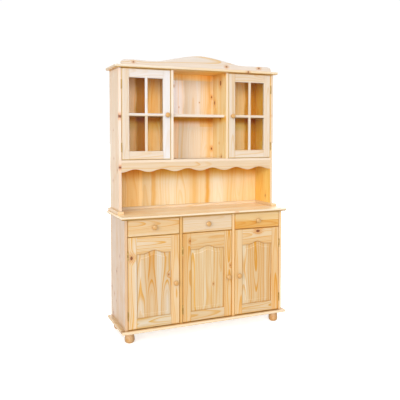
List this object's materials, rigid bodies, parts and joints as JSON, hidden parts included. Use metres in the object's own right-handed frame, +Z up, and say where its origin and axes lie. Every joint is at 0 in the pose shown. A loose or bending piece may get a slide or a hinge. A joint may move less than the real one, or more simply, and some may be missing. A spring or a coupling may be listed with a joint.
{
  "type": "welsh dresser",
  "caption": "Pine welsh dresser: drawers over arched panel doors, glazed hutch with open bay, scalloped apron and serpentine pediment.",
  "frame": {"origin": "on the floor, under the centre of the dresser's bounding box", "axes": "+Z up, +X to the dresser's right as seen from the front, the front faces -Y"},
  "size_m": [1.2, 0.387, 1.875],
  "materials": {
    "pine_carcase": "clear lacquered pine, satin",
    "pine_door": "clear lacquered pine with knots, satin",
    "pine_top": "clear lacquered pine, moulded edges",
    "pine_inside": "lightly lacquered pine",
    "pine_turned": "turned pine, lacquered",
    "glass": "clear flat glass",
    "brass": "aged brass"
  },
  "bodies": {
    "carcase": {"base_side_left": "pine_carcase", "base_divider_left": "pine_carcase", "foot_front_left": "pine_turned", "foot_rear_left": "pine_turned", "hutch_side_left": "pine_carcase", "hutch_divider_left": "pine_carcase", "sill_block_left": "pine_top", "base_side_right": "pine_carcase", "base_divider_right": "pine_carcase", "foot_front_right": "pine_turned", "foot_rear_right": "pine_turned", "hutch_side_right": "pine_carcase", "hutch_divider_right": "pine_carcase", "sill_block_right": "pine_top", "plinth_board": "pine_top", "worktop": "pine_top", "base_back_panel": "pine_inside", "drawer_frame": "pine_inside", "base_shelf": "pine_inside", "hutch_floor": "pine_carcase", "hutch_shelf": "pine_inside", "hutch_back_panel": "pine_inside", "back_rail": "pine_inside", "cornice_board": "pine_top", "pediment": "pine_top", "apron": "pine_carcase", "hinge_base_left_upper": "brass", "hinge_base_left_lower": "brass", "hinge_base_middle_upper": "brass", "hinge_base_middle_lower": "brass", "hinge_base_right_upper": "brass", "hinge_base_right_lower": "brass", "hinge_glazed_left_upper": "brass", "hinge_glazed_left_lower": "brass", "hinge_glazed_right_upper": "brass", "hinge_glazed_right_lower": "brass"},
    "drawer_left": {"drawer_front_left": "pine_door", "drawer_box_left": "pine_inside", "drawer_knob_left": "pine_turned"},
    "base_door_left": {"base_door_frame_left": "pine_door", "base_door_panel_left": "pine_door", "base_door_knob_left": "pine_turned"},
    "drawer_middle": {"drawer_front_middle": "pine_door", "drawer_box_middle": "pine_inside", "drawer_knob_middle": "pine_turned"},
    "base_door_middle": {"base_door_frame_middle": "pine_door", "base_door_panel_middle": "pine_door", "base_door_knob_middle": "pine_turned"},
    "drawer_right": {"drawer_front_right": "pine_door", "drawer_box_right": "pine_inside", "drawer_knob_right": "pine_turned"},
    "base_door_right": {"base_door_frame_right": "pine_door", "base_door_panel_right": "pine_door", "base_door_knob_right": "pine_turned"},
    "glazed_door_left": {"glazed_door_frame_left": "pine_door", "glazed_door_glass_left": "glass", "glazed_door_knob_left": "pine_turned"},
    "glazed_door_right": {"glazed_door_frame_right": "pine_door", "glazed_door_glass_right": "glass", "glazed_door_knob_right": "pine_turned"}
  },
  "joints": [
    {"name": "drawer_left_slide", "type": "slide", "parent": "carcase", "child": "drawer_left", "axis": [0, -1, 0], "range_m": [0, 0.26]},
    {"name": "base_door_left_hinge", "type": "hinge", "parent": "carcase", "child": "base_door_left", "pos_m": [-0.5555, -0.1702, 0.391], "axis": [0, 0, -1], "range_deg": [0, 110]},
    {"name": "drawer_middle_slide", "type": "slide", "parent": "carcase", "child": "drawer_middle", "axis": [0, -1, 0], "range_m": [0, 0.26]},
    {"name": "base_door_middle_hinge", "type": "hinge", "parent": "carcase", "child": "base_door_middle", "pos_m": [-0.1825, -0.1702, 0.391], "axis": [0, 0, -1], "range_deg": [0, 110]},
    {"name": "drawer_right_slide", "type": "slide", "parent": "carcase", "child": "drawer_right", "axis": [0, -1, 0], "range_m": [0, 0.26]},
    {"name": "base_door_right_hinge", "type": "hinge", "parent": "carcase", "child": "base_door_right", "pos_m": [0.5555, -0.1702, 0.391], "axis": [0, 0, 1], "range_deg": [0, 110]},
    {"name": "glazed_door_left_hinge", "type": "hinge", "parent": "carcase", "child": "glazed_door_left", "pos_m": [-0.5555, -0.0422, 1.474], "axis": [0, 0, -1], "range_deg": [0, 110]},
    {"name": "glazed_door_right_hinge", "type": "hinge", "parent": "carcase", "child": "glazed_door_right", "pos_m": [0.5555, -0.0422, 1.474], "axis": [0, 0, 1], "range_deg": [0, 110]}
  ]
}
